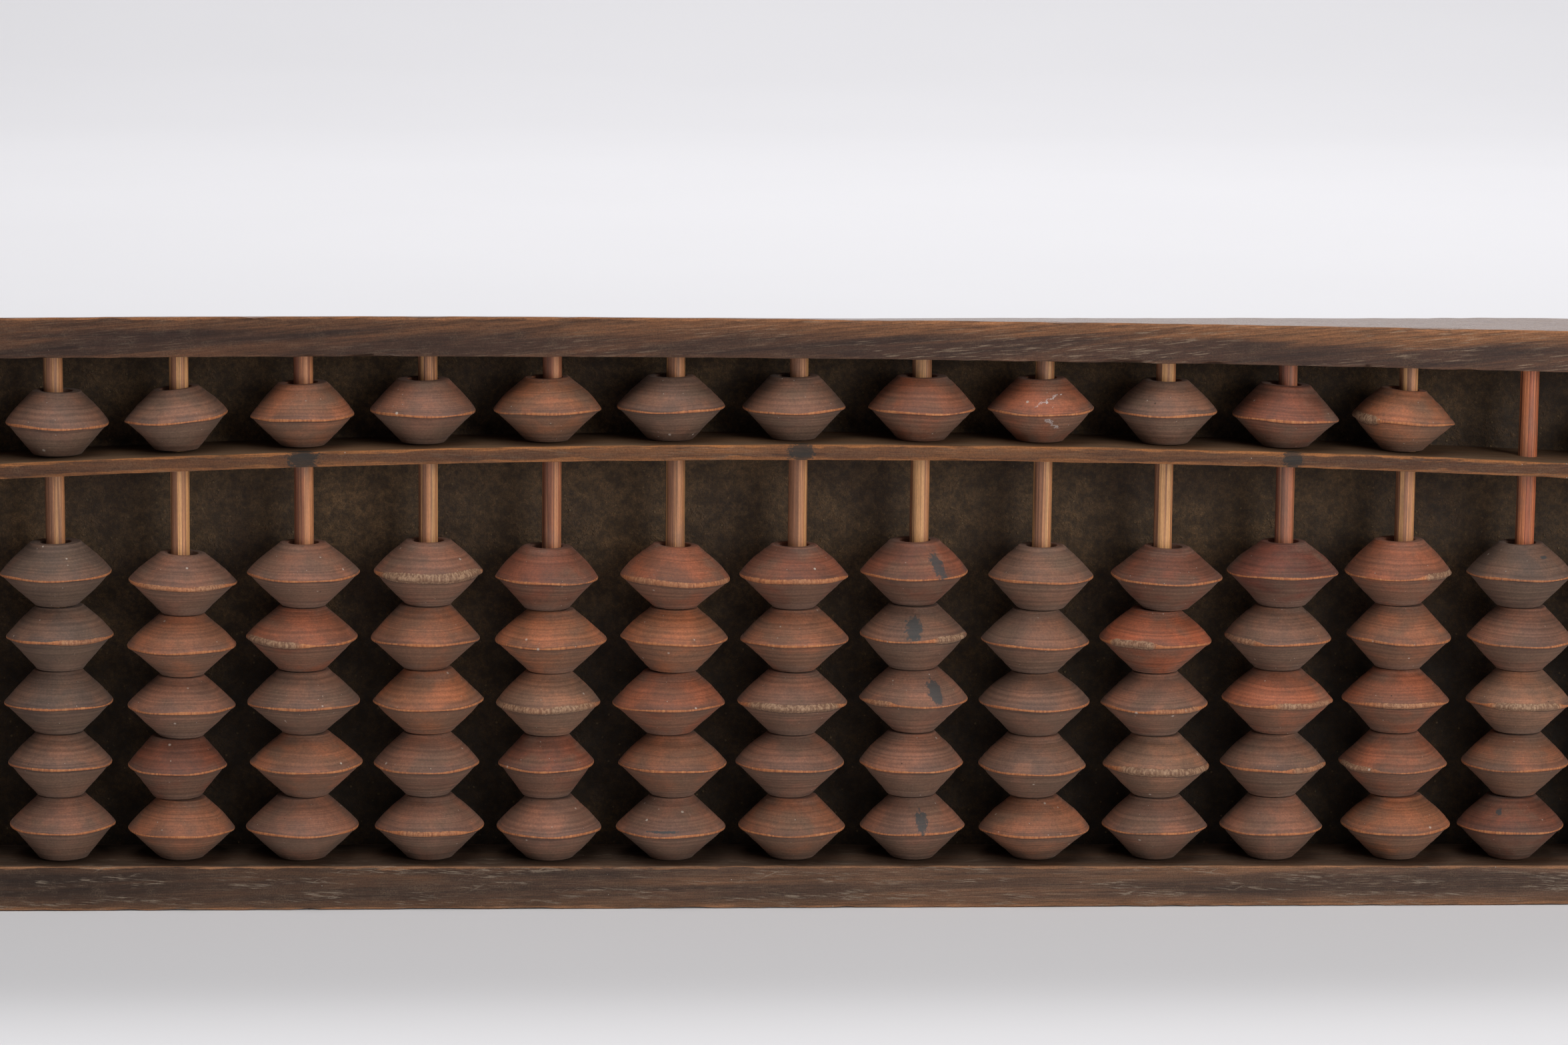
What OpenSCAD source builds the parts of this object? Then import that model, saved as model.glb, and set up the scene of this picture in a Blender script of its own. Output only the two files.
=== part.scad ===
// Standing bead frame: on every rod one bead above the beam and five below it, with a board behind.
// +Z is up, +X runs along the row of rods, and the beads face -Y.
// The origin is on the standing surface, under the middle of the whole frame, beads included.
// The timber has moved with age: the beam and the top rail are bowed, and the bottom rail tapers.

/* [Rods] */
// Number of rods in the row
rod_count = 15; // [11:2:17]
// Distance between neighbouring rods
rod_pitch = 24; // [23:0.5:26]
// Diameter of a rod
rod_d = 3.8; // [3.2:0.1:4.4]
// Distance from the front face of the frame back to the rods
rod_depth = 8.5; // [7.5:0.1:9]
// Rod, counted from the left, whose upper bead is lost
lost_bead_rod = 14; // [1:1:17]

/* [Beads] */
// Diameter of a lower bead at its edge
earth_bead_d = 21.4; // [19:0.2:22]
// Diameter of an upper bead at its edge
heaven_bead_d = 20.4; // [19:0.2:22]
// Height of a bead along its rod, before a rod's own difference
bead_h = 12.4; // [11.6:0.1:12.6]
// Diameter of the flat ends of a bead
bead_flat_d = 9.2; // [8:0.2:11]
// Diameter of the bore through a bead
bead_bore_d = 6; // [5:0.2:6.4]
// Height of the worn band around a bead's edge
bead_band_h = 0.6; // [0.2:0.1:1.2]

/* [Frame] */
// Depth of the frame from front to back
frame_depth = 22.7; // [21.5:0.1:26]
// Height of the frame at the crown of the top rail
frame_h = 116.5; // [115.5:0.5:124]
// Height of the top rail
top_rail_h = 7.75; // [7.25:0.25:8.5]
// Height of the bottom rail at its middle
bottom_rail_h = 8.6; // [7.8:0.1:9.4]
// Thickness of each end piece
end_w = 9; // [8:0.5:12]
// Clear distance from an end piece to the nearest rod
end_gap = 18; // [14:0.5:24]
// Height of the underside of the beam at its crown
beam_z = 88.9; // [87:0.1:89.5]
// Height of the beam's own edge
beam_h = 3; // [2.6:0.1:3.4]

/* [Age] */
// Fall of the beam 150 mm out from its crown
beam_bow = 3.6; // [0.8:0.2:4]
// Place of the beam's crown along the row
beam_crown_x = 6; // [-40:2:40]
// Fall of the top rail 150 mm out from its crown
top_bow = 1.35; // [0.4:0.05:1.5]
// Place of the top rail's crown along the row
top_crown_x = -48; // [-50:2:50]
// Rise of the bottom rail's upper face from its middle to 150 mm left of it
bottom_taper = 0.45; // [0:0.05:0.6]

/* [Board and fixings] */
// Thickness of the board behind the rods
board_t = 3; // [2:0.5:4]
// Diameter of the pegs through the corner joints
peg_d = 2.2; // [1.6:0.2:2.4]
// Diameter of the shanks of the board's nails
nail_d = 1; // [0.8:0.1:1.2]

/* [Hidden] */
earth_stack = 4;              // beads that slide together under the topmost lower bead
// How much taller or shorter than bead_h the lower beads of each rod are, from the left
lower_bead_trim = [0, 0, -0.4, 0, 0.1, -0.1, 0, 0, 0.2, 0, 0, 0.2, 0.3, 0.2, 0];
slack = 0.1;                  // air left under a bead and between stacked beads
socket = 4.5;                 // depth of the rods' ends in the rails
tenon = [3.2, 12, 4.5];       // thickness, width and length of the end pieces' tenons
beam_stub = 3;                // length of the beam's ends let into the end pieces
board_lap = 3;                // width of the rebate that holds the board's short edges
board_z = [5.8, 110.6];       // lower and upper edges of the board
nail_len = 9;
nail_head = [2.8, 0.4];       // diameter and thickness
nail_inset = 1.2;             // from the board's edge to a nail's axis
nail_step = 84;               // distance between the nails of a long edge
peg_len = 15;
bow_span = 150;               // where the bows and the taper are stated
cut = 1;                      // how far a cutter runs past the face it cuts
smooth = 64;                  // facets of small round shapes
bow_smooth = 2880;            // facets of the bows' whole circles

half_l = (rod_count - 1) * rod_pitch / 2 + end_gap + end_w;
inner_x = half_l - end_w;
rod_y = (max(earth_bead_d, heaven_bead_d) / 2 + rod_depth - frame_depth) / 2;
front_y = rod_y - rod_depth;
back_y = front_y + frame_depth;
board_y = back_y - board_t;

rod_numbers = [1:rod_count];
function two_digits(i) = str(i < 10 ? "0" : "", i);
function numbered(name, i) = str(name, "_", two_digits(i));
function rod_x(i) = (i - (rod_count + 1) / 2) * rod_pitch;

// Radius of an arc that falls by bow at bow_span from its crown
function bow_radius(bow) = (bow_span * bow_span + bow * bow) / (2 * bow);
function arc_fall(bow, x) = bow_radius(bow) - sqrt(pow(bow_radius(bow), 2) - x * x);

function bottom_top(x) = bottom_rail_h - bottom_taper * x / bow_span;
function beam_fall(x) = arc_fall(beam_bow, x - beam_crown_x);
function top_under(x) = frame_h - top_rail_h - arc_fall(top_bow, x - top_crown_x);

function lower_bead_h(i) = bead_h + (i <= len(lower_bead_trim) ? lower_bead_trim[i - 1] : 0);

// A bead stands on the higher side of a face that slopes under its flat end
function earth_seat(x) = bottom_top(x - bead_flat_d / 2) + slack;
function heaven_seat(x) =
    beam_z + beam_h + slack - min(beam_fall(x - bead_flat_d / 2), beam_fall(x + bead_flat_d / 2));

has_heaven_bead = [for (i = rod_numbers) if (i != lost_bead_rod) i];
nail_cols = floor((inner_x - nail_inset) / nail_step);
long_edge_nails = [
    for (k = [-nail_cols:nail_cols], z = [board_z[0] + nail_inset, board_z[1] - nail_inset]) [k * nail_step, z]
];
short_edge_nails = [
    for (side = [-1, 1], z = [30, 60, 90]) [side * (inner_x + board_lap - nail_inset), z]
];
nail_places = concat(long_edge_nails, short_edge_nails);
peg_places = [
    for (side = [-1, 1], up = [0, 1])
    let (x = side * (half_l - end_w / 2))
    [x, up == 1 ? top_under(x) + tenon[2] / 2 : bottom_top(x) - tenon[2] / 2]
];

// A box given by its lowest and highest corners
module block(low, high) {
    translate(low) cube(high - low);
}

// A bar that follows an arc with its crown at x = crown and the given underside and height
module bowed_bar(crown, underside, height, bow, reach, y0, y1) {
    r = bow_radius(bow) + height;
    intersection() {
        translate([crown, y1, underside + height - r]) rotate([90, 0, 0]) difference() {
            cylinder(h = y1 - y0, r = r, $fn = bow_smooth);
            translate([0, 0, -cut]) cylinder(h = y1 - y0 + 2 * cut, r = r - height, $fn = bow_smooth);
        }
        block([-reach, y0 - cut, underside - 30], [reach, y1 + cut, underside + height + cut]);
    }
}

module top_bar() {
    bowed_bar(top_crown_x, frame_h - top_rail_h, top_rail_h, top_bow, half_l, front_y, back_y);
}

module beam_bar() {
    bowed_bar(beam_crown_x, beam_z, beam_h, beam_bow, inner_x + beam_stub, front_y, board_y);
}

module bottom_bar() {
    translate([0, back_y, 0]) rotate([90, 0, 0]) linear_extrude(frame_depth)
        polygon([[-half_l, 0], [half_l, 0], [half_l, bottom_top(half_l)], [-half_l, bottom_top(-half_l)]]);
}

module board_panel() {
    x = inner_x + board_lap;
    block([-x, board_y, board_z[0]], [x, back_y, board_z[1]]);
}

module rod_bars() {
    for (i = rod_numbers)
        let (x = rod_x(i), z0 = bottom_top(x) - socket, z1 = top_under(x) + socket)
        translate([x, rod_y, z0]) cylinder(h = z1 - z0, d = rod_d, $fn = smooth);
}

// Tenons of both ends of the end piece at x
module tenon_blocks(x) {
    for (span = [[bottom_top(x) - tenon[2], bottom_top(x) + cut], [top_under(x) - cut, top_under(x) + tenon[2]]])
        block([x - tenon[0] / 2, -tenon[1] / 2, span[0]], [x + tenon[0] / 2, tenon[1] / 2, span[1]]);
}

module peg_bars() {
    for (p = peg_places)
        translate([p[0], front_y + peg_len, p[1]]) rotate([90, 0, 0]) cylinder(h = peg_len, d = peg_d, $fn = smooth);
}

module nail_bars() {
    for (p = nail_places) translate([p[0], back_y, p[1]]) rotate([90, 0, 0]) {
        cylinder(h = nail_len, d = nail_d, $fn = smooth);
        cylinder(h = nail_head[1], d = nail_head[0], $fn = smooth);
    }
}

// Everything that is let into the rails
module rail_joinery() {
    board_panel();
    rod_bars();
    peg_bars();
    nail_bars();
    for (side = [-1, 1]) tenon_blocks(side * (half_l - end_w / 2));
}

module top_rail() color([0.27, 0.16, 0.13]) difference() {
    top_bar();
    rail_joinery();
}

module bottom_rail() color([0.25, 0.15, 0.12]) difference() {
    bottom_bar();
    rail_joinery();
}

module end_piece(side) color([0.29, 0.17, 0.13]) {
    x = side * (half_l - end_w / 2);
    difference() {
        union() {
            difference() {
                block([x - end_w / 2, front_y, bottom_top(x) - cut], [x + end_w / 2, back_y, top_under(x) + cut]);
                bottom_bar();
                top_bar();
            }
            tenon_blocks(x);
        }
        beam_bar();
        board_panel();
        peg_bars();
        nail_bars();
    }
}

module beam() color([0.42, 0.26, 0.17]) difference() {
    beam_bar();
    rod_bars();
}

module backboard() color([0.2, 0.13, 0.11]) difference() {
    board_panel();
    nail_bars();
}

module rods() color([0.6, 0.42, 0.24]) rod_bars();

module corner_pegs() color([0.66, 0.5, 0.32]) peg_bars();

module board_nails() color([0.24, 0.21, 0.2]) nail_bars();

// One bead with its lower flat end at z = 0
module bead(d, h) {
    band_low = (h - bead_band_h) / 2;
    rotate_extrude($fn = smooth) polygon([
        [bead_bore_d / 2, 0],
        [bead_flat_d / 2, 0],
        [d / 2, band_low],
        [d / 2, band_low + bead_band_h],
        [bead_flat_d / 2, h],
        [bead_bore_d / 2, h]
    ]);
}

// Lower bead of rod i, with k beads under it
module earth_bead(i, k) {
    h = lower_bead_h(i);
    translate([rod_x(i), rod_y, earth_seat(rod_x(i)) + k * (h + slack)]) bead(earth_bead_d, h);
}

module heaven_bead(i) color([0.48, 0.24, 0.18])
    translate([rod_x(i), rod_y, heaven_seat(rod_x(i))]) bead(heaven_bead_d, bead_h);

module top_earth_bead(i) color([0.44, 0.22, 0.17]) earth_bead(i, earth_stack);

module lower_earth_beads(i) color([0.46, 0.25, 0.19])
    for (k = [0:earth_stack - 1]) earth_bead(i, k);

top_rail();
bottom_rail();
end_piece(-1);  // left_end
end_piece(1);  // right_end
beam();
backboard();
rods();
corner_pegs();
board_nails();
for (i = has_heaven_bead) heaven_bead(i);
for (i = rod_numbers) top_earth_bead(i);
for (i = rod_numbers) lower_earth_beads(i);
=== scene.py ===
"""Looks of the standing bead frame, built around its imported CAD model.

Shapes are worked out in millimetres in the row frame and turned into metres when a mesh is made.
"""

import functools
import itertools
import math

import bpy
import numpy as np
from mathutils import Matrix, Vector


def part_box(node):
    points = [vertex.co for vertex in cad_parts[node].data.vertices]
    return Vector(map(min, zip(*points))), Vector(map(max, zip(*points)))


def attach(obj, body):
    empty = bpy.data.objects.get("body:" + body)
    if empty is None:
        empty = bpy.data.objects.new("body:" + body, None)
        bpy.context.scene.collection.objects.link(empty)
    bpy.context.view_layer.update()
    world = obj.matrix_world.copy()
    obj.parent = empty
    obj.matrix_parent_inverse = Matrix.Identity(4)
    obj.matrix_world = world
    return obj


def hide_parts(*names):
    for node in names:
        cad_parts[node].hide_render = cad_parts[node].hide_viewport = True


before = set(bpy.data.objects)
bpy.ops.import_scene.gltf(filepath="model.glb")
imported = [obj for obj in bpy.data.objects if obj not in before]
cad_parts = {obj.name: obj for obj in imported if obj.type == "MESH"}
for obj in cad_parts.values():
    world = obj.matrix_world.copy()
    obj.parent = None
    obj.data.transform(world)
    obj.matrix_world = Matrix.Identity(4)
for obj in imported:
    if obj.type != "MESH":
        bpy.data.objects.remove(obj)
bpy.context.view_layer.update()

MM = 1000.0

# Shapes of the aged timber, the rods and the beads, as the part has them (mm)
BOW_SPAN = 150.0
BEAM_BOW, BEAM_CROWN_X = 3.6, 6.0
TOP_BOW, TOP_CROWN_X = 1.35, -48.0
BOTTOM_TAPER = 0.45
BEAD_SLACK = 0.1
BORE_RADIUS = 3.0
ROD_RADIUS = 1.9
ROD_COUNT = 15
LOST_BEAD_ROD = 14

# How each rod's beads look, from the left: their colours (upper bead, then the lower five from the
# top), how far each one leans to the right of its rod and how wide it is (mm)
ROD_LOOKS = [
    ("bbtneb", (-0.4, 0.3, -0.2, -0.6, 0.0, 0.2), (20.4, 21.2, 21.0, 21.6, 21.4, 21.0)),
    ("ngggnb", (0.6, 0.0, 0.6, 0.2, 0.4, 0.7), (19.6, 21.4, 20.7, 21.0, 20.1, 20.4)),
    ("nbtbrt", (-0.6, 0.5, 0.2, 0.0, -1.1, -0.2), (19.8, 21.0, 21.2, 21.0, 19.2, 20.8)),
    ("tbentb", (-0.3, -0.2, -0.5, -0.3, 0.2, -0.7), (20.0, 22.0, 21.6, 22.0, 22.0, 22.0)),
    ("bbtobb", (-1.1, 0.0, -0.6, 0.0, -0.3, 0.2), (20.4, 21.2, 21.2, 21.6, 20.6, 21.4)),
    ("oroarb", (-1.1, -0.9, -0.1, -0.6, -1.1, -0.3), (20.8, 20.0, 21.8, 20.4, 18.8, 20.6)),
    ("neoetb", (-1.1, 0.2, 0.0, -1.0, -0.1, -0.3), (21.0, 21.4, 21.0, 22.0, 21.4, 21.6)),
    ("nrtbbt", (-1.1, -0.6, -0.3, -0.6, -1.0, -0.4), (20.0, 21.4, 21.2, 21.6, 21.4, 21.0)),
    ("ernbbb", (0.0, -1.0, -1.0, -0.7, -1.1, -0.5), (20.8, 21.0, 21.2, 21.4, 20.4, 20.8)),
    ("ennnnt", (-0.6, 0.1, -0.8, -0.8, -1.1, -0.3), (20.8, 20.6, 21.4, 21.8, 21.2, 22.0)),
    ("nrfbab", (0.0, 0.9, -1.1, -1.1, -0.3, -0.3), (20.2, 22.0, 22.2, 21.2, 21.0, 20.8)),
    ("rdnenb", (-0.3, 0.0, -0.6, -0.4, -1.1, -1.1), (20.8, 22.0, 21.0, 22.0, 21.0, 20.4)),
    ("oeteeo", (-1.0, -1.0, -0.5, -0.8, -0.9, 0.0), (20.2, 21.0, 20.6, 21.2, 21.4, 21.6)),
    ("ngbatr", (0.0, -0.7, 0.0, 0.0, -0.3, -0.9), (20.4, 21.0, 21.2, 20.8, 21.0, 21.0)),
    ("tbntbe", (-0.5, 0.4, -0.3, 0.2, -0.6, 0.0), (20.4, 21.4, 21.0, 21.2, 21.6, 21.0)),
]
BEAD_TONES = {
    "g": (0.127, 0.078, 0.056),
    "n": (0.171, 0.091, 0.060),
    "b": (0.202, 0.098, 0.063),
    "t": (0.235, 0.098, 0.052),
    "o": (0.288, 0.112, 0.053),
    "e": (0.243, 0.087, 0.045),
    "r": (0.165, 0.060, 0.034),
    "d": (0.144, 0.048, 0.030),
    "a": (0.231, 0.119, 0.072),
    "f": (0.315, 0.093, 0.042),
}
BEAD_ALBEDO = 1.08  # how much lighter a bead is than it looks in soft light

# Beads out of true: (rod, bead) and how far the right side stands up (degrees)
TILTS = {
    (3, 0): 6.0, (4, 0): 2.0, (12, 0): -3.0, (13, 0): -5.0, (3, 1): -2.0, (7, 1): -2.5, (11, 1): -1.5,
}
MOST_LEAN = 0.95  # how far a bead may lean and still clear its rod (mm)

# Battered edges: (rod, bead), the angle of the middle of the damage from the front towards the
# right, half of its spread (degrees) and how far it reaches up and down the bead (mm)
BATTERED = {
    (3, 1): (0, 80, 0.5), (4, 2): (-40, 60, 0.7), (5, 1): (10, 90, 1.1), (6, 3): (-10, 110, 0.7),
    (7, 1): (10, 110, 0.45), (8, 1): (0, 90, 0.4), (8, 3): (0, 80, 0.9), (9, 2): (50, 40, 0.8),
    (9, 3): (-50, 30, 0.5), (11, 2): (-35, 35, 0.9), (11, 4): (10, 90, 0.8), (11, 3): (20, 40, 0.5),
    (12, 2): (-60, 40, 0.6), (12, 3): (30, 60, 0.6), (12, 4): (40, 40, 0.6), (13, 0): (-70, 40, 1.0),
    (13, 1): (50, 40, 0.7), (13, 3): (0, 60, 0.5), (13, 4): (-60, 40, 0.7), (14, 3): (0, 60, 0.8),
    (5, 5): (0, 50, 0.4), (2, 2): (30, 40, 0.5),
}
# Ink spots: (rod, bead), the angle of the middle, its height above the edge, its half width and
# half height (mm)
INKED = {
    (9, 1): (27, 2.9, 1.1, 2.5), (9, 2): (-4, 3.1, 1.3, 2.5), (9, 3): (24, 3.3, 1.2, 2.6),
    (9, 5): (7, 2.6, 0.9, 2.4), (7, 5): (-12, 1.2, 2.6, 0.25), (14, 5): (-30, 5.0, 0.5, 0.6),
    (14, 1): (30, 5.4, 0.7, 0.4),
}
NO_INK = (0.0, 500.0, 1.0, 1.0)
# The bead with white thread-like scratches, and a place far from them for all the others (mm)
SCRATCHED = (10, 0)
FAR_AWAY = 500.0

# Ink marks across the beam: rod and half width (mm)
BEAM_MARKS = ((4, 2.5), (8, 2.1), (12, 1.6))


# ---------------------------------------------------------------- noise and meshes

def lattice(cell, seed):
    """Repeatable numbers from -1 to 1 at the whole-number points cell, an (n, 3) array."""
    h = cell[:, 0] * 374761393 + cell[:, 1] * 668265263 + cell[:, 2] * 1103515245 + seed * 974634777
    h &= 0xFFFFFFFF
    h = ((h ^ (h >> 13)) * 1274126177) & 0xFFFFFFFF
    return ((h ^ (h >> 16)) & 0xFFFF) / 32767.5 - 1


def smooth_noise(points, size, seed=0):
    """Smooth noise from -1 to 1, with lumps of one size or of three sizes along the axes (mm)."""
    q = points / size
    cell = np.floor(q).astype(np.int64)
    f = q - cell
    f = f * f * (3 - 2 * f)
    total = np.zeros(len(points))
    for corner in itertools.product((0, 1), repeat=3):
        weight = np.prod(np.where(corner, f, 1 - f), axis=1)
        total += weight * lattice(cell + np.array(corner), seed)
    return total


def smoothstep(value, low, high):
    t = np.clip((value - low) / (high - low), 0, 1)
    return t * t * (3 - 2 * t)


def grid_quads(rows, cols, close_rows=False):
    """Quads of a grid of points that is closed across its columns, and across its rows if asked."""
    i = np.arange(rows if close_rows else rows - 1)[:, None]
    j = np.arange(cols)[None, :]
    below, right = (i + 1) % rows, (j + 1) % cols
    quads = np.stack([i * cols + j, below * cols + j, below * cols + right, i * cols + right], axis=-1)
    return quads.reshape(-1, 4)


def capped_quads(rows, cols):
    """Faces of a tube: the quads of its grid, and one face over each of its ends."""
    faces = grid_quads(rows, cols).tolist()
    faces.append(list(range(cols)))
    faces.append(list(range((rows - 1) * cols, rows * cols))[::-1])
    return faces


def angles_round(sides, rows):
    """The angle of every point of a grid that goes round in so many sides, row after row."""
    return np.tile(np.arange(sides) * 2 * math.pi / sides, rows)


def new_object(name, data):
    """An object in the scene that shows the data."""
    thing = bpy.data.objects.new(name, data)
    bpy.context.scene.collection.objects.link(thing)
    return thing


def make_piece(name, points, faces, attributes, material, body, nodes, slot, sharp_angle=50):
    """A mesh object from points in mm, with its attributes, its material and its place in the model."""
    mesh = bpy.data.meshes.new(name)
    mesh.from_pydata((points / MM).tolist(), [], [list(f) for f in faces])
    mesh.update()
    for key, values in attributes.items():
        add_attribute(mesh, key, values)
    mesh.shade_smooth()
    mesh.set_sharp_from_angle(angle=math.radians(sharp_angle))
    mesh.materials.append(material)
    piece = new_object(name, mesh)
    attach(piece, body)
    if nodes:
        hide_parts(*nodes)
    return piece


def add_attribute(mesh, name, values):
    values = np.asarray(values, dtype=np.float32)
    kind, field = ("FLOAT", "value") if values.ndim == 1 else ("FLOAT_VECTOR", "vector")
    attribute = mesh.attributes.new(name, kind, "POINT")
    attribute.data.foreach_set(field, values.reshape(-1))


def joined(parts):
    """One (points, faces, attributes) out of several."""
    points, faces, attributes, first = [], [], {}, 0
    for part_points, part_faces, part_attributes in parts:
        points.append(part_points)
        faces.extend((np.array(f) + first).tolist() for f in part_faces)
        for key, values in part_attributes.items():
            attributes.setdefault(key, []).append(values)
        first += len(part_points)
    return np.concatenate(points), faces, {key: np.concatenate(v) for key, v in attributes.items()}


def node_box(node):
    """Lowest and highest corner of a CAD node, in mm."""
    low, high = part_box(node)
    return np.array(low) * MM, np.array(high) * MM


# ---------------------------------------------------------------- the frame's own lines

top_low, top_high = node_box("top_rail")
bottom_high = node_box("bottom_rail")[1]
beam_low, beam_high = node_box("beam")
board_low, board_high = node_box("backboard")
HALF_LENGTH = top_high[0]
FRONT_Y, BACK_Y = top_low[1], top_high[1]
BOARD_Y = board_low[1]
INNER_X = -node_box("left_end")[1][0]
TOP_RAIL_H = 7.75
BEAM_H = 3.0


def arc_fall(bow, x):
    """How far an arc with the given bow has fallen at x from its crown."""
    radius = (BOW_SPAN ** 2 + bow ** 2) / (2 * bow)
    return radius - math.sqrt(radius ** 2 - x ** 2)


def top_of_top_rail(x):
    return top_high[2] - arc_fall(TOP_BOW, x - TOP_CROWN_X)


def under_top_rail(x):
    return top_of_top_rail(x) - TOP_RAIL_H


def top_of_beam(x):
    return beam_high[2] - arc_fall(BEAM_BOW, x - BEAM_CROWN_X)


def under_beam(x):
    return top_of_beam(x) - BEAM_H


def top_of_bottom_rail(x):
    rise = BOTTOM_TAPER / BOW_SPAN
    return bottom_high[2] - rise * (x + HALF_LENGTH)


def rod_axis(rod):
    low, high = node_box(f"top_earth_bead_{rod:02d}")
    return (low[0] + high[0]) / 2, (low[1] + high[1]) / 2


# ---------------------------------------------------------------- node trees

# The colour sockets of a mix node, which share their names with its number and vector sockets
MIX_COLOUR_A, MIX_COLOUR_B, MIX_COLOUR_OUT = 6, 7, 2


class Shader:
    """Short calls that build the node tree of one material."""

    def __init__(self, name, **principled):
        self.material = bpy.data.materials.new(name)
        self.material.use_nodes = True
        self.tree = self.material.node_tree
        self.principled = self.tree.nodes["Principled BSDF"]
        for socket, value in principled.items():
            self.principled.inputs[socket.replace("_", " ")].default_value = value

    def plug(self, socket, value):
        if isinstance(value, bpy.types.NodeSocket):
            self.tree.links.new(value, socket)
        elif value is not None:
            socket.default_value = value

    def attribute(self, name, output="Vector"):
        node = self.tree.nodes.new("ShaderNodeAttribute")
        node.attribute_name = name
        return node.outputs[output]

    def math(self, operation, a, b=None, c=None):
        node = self.tree.nodes.new("ShaderNodeMath")
        node.operation = operation
        for socket, value in zip(node.inputs, (a, b, c)):
            self.plug(socket, value)
        return node.outputs[0]

    def times(self, a, b):
        return self.math("MULTIPLY", a, b)

    def plus(self, a, b):
        return self.math("ADD", a, b)

    def minus(self, a, b):
        return self.math("SUBTRACT", a, b)

    def absolute(self, a):
        return self.math("ABSOLUTE", a)

    def vector(self, operation, a, b=None):
        node = self.tree.nodes.new("ShaderNodeVectorMath")
        node.operation = operation
        self.plug(node.inputs[0], a)
        self.plug(node.inputs[1], b)
        return node.outputs[0]

    def split(self, vector):
        node = self.tree.nodes.new("ShaderNodeSeparateXYZ")
        self.plug(node.inputs[0], vector)
        return node.outputs[0], node.outputs[1], node.outputs[2]

    def turned(self, vector, degrees):
        """The vector turned about Y, so that grain runs at a slope across a front face."""
        node = self.tree.nodes.new("ShaderNodeVectorRotate")
        node.rotation_type = "Y_AXIS"
        self.plug(node.inputs["Vector"], vector)
        node.inputs["Angle"].default_value = math.radians(degrees)
        return node.outputs[0]

    def noise(self, vector, scales, detail=3.0, roughness=0.55, distortion=0.0):
        """Noise of so many lumps per mm, along each axis if scales is three numbers."""
        scales = scales if isinstance(scales, tuple) else (scales,) * 3
        node = self.noise_node(detail, roughness, distortion)
        self.plug(node.inputs["Vector"], self.vector("MULTIPLY", vector, scales))
        return node.outputs[0]

    def line_noise(self, w, detail, roughness):
        """Noise along one number."""
        node = self.noise_node(detail, roughness, 0.0)
        node.noise_dimensions = "1D"
        self.plug(node.inputs["W"], w)
        return node.outputs[0]

    def noise_node(self, detail, roughness, distortion):
        node = self.tree.nodes.new("ShaderNodeTexNoise")
        node.inputs["Scale"].default_value = 1.0
        node.inputs["Detail"].default_value = detail
        node.inputs["Roughness"].default_value = roughness
        node.inputs["Distortion"].default_value = distortion
        return node

    def specks(self, vector, per_mm, size, share, moved=None):
        """Round specks: about share of the cells hold one, of the given size in cells."""
        if moved:
            vector = self.vector("ADD", vector, moved)
        node = self.tree.nodes.new("ShaderNodeTexVoronoi")
        self.plug(node.inputs["Vector"], self.vector("MULTIPLY", vector, (per_mm,) * 3))
        node.inputs["Scale"].default_value = 1.0
        chance = self.split(node.outputs["Color"])
        reach = self.times(chance[1], size)
        inside = self.between(self.minus(reach, node.outputs["Distance"]), 0.0, size * 0.35)
        chosen = self.math("LESS_THAN", chance[0], share)
        return self.times(inside, chosen)

    def between(self, value, low, high, to_low=0.0, to_high=1.0):
        """The value eased from to_low at low to to_high at high."""
        node = self.tree.nodes.new("ShaderNodeMapRange")
        node.interpolation_type = "SMOOTHSTEP"
        for socket, number in zip(node.inputs, (value, low, high, to_low, to_high)):
            self.plug(socket, number)
        return node.outputs[0]

    def mix(self, factor, a, b):
        node = self.tree.nodes.new("ShaderNodeMix")
        node.data_type = "RGBA"
        self.plug(node.inputs["Factor"], factor)
        self.plug(node.inputs[MIX_COLOUR_A], colour(a))
        self.plug(node.inputs[MIX_COLOUR_B], colour(b))
        return node.outputs[MIX_COLOUR_OUT]

    def laid_on(self, base, where, strength, top):
        """A colour laid over another where a value is 1."""
        return self.mix(self.times(where, strength), base, top)

    def shade(self, base, value):
        """A colour made lighter or darker by a number."""
        node = self.tree.nodes.new("ShaderNodeCombineXYZ")
        for socket in node.inputs:
            self.plug(socket, value)
        return self.vector("MULTIPLY", base, node.outputs[0])

    def varied(self, base, *shades):
        """A colour shaded in turn by values, each with its low, high and the factors there."""
        for shade in shades:
            base = self.shade(base, self.between(*shade))
        return base

    def total(self, *terms):
        """The sum of values, each with its weight."""
        values = [self.times(value, weight) for value, weight in terms]
        return functools.reduce(self.plus, values)

    def ramp(self, factor, *stops):
        """Colours along a number: stops are (place, colour)."""
        node = self.tree.nodes.new("ShaderNodeValToRGB")
        self.plug(node.inputs[0], factor)
        elements = node.color_ramp.elements
        elements[0].position, elements[0].color = stops[0][0], colour(stops[0][1])
        elements[1].position, elements[1].color = stops[-1][0], colour(stops[-1][1])
        for place, value in stops[1:-1]:
            elements.new(place).color = colour(value)
        return node.outputs[0]

    def finish(self, base, roughness, height, bump_mm, strength=1.0):
        """Joins colour, roughness and a bump of the given depth to the shader."""
        self.plug(self.principled.inputs["Base Color"], base)
        self.plug(self.principled.inputs["Roughness"], roughness)
        bump = self.tree.nodes.new("ShaderNodeBump")
        bump.inputs["Strength"].default_value = strength
        bump.inputs["Distance"].default_value = bump_mm / MM
        self.plug(bump.inputs["Height"], height)
        self.plug(self.principled.inputs["Normal"], bump.outputs[0])
        return self.material


def colour(value):
    """Three numbers as a colour with its fourth; a socket stays as it is."""
    if isinstance(value, tuple) and len(value) == 3:
        return (*value, 1.0)
    return value


# ---------------------------------------------------------------- materials

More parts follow.
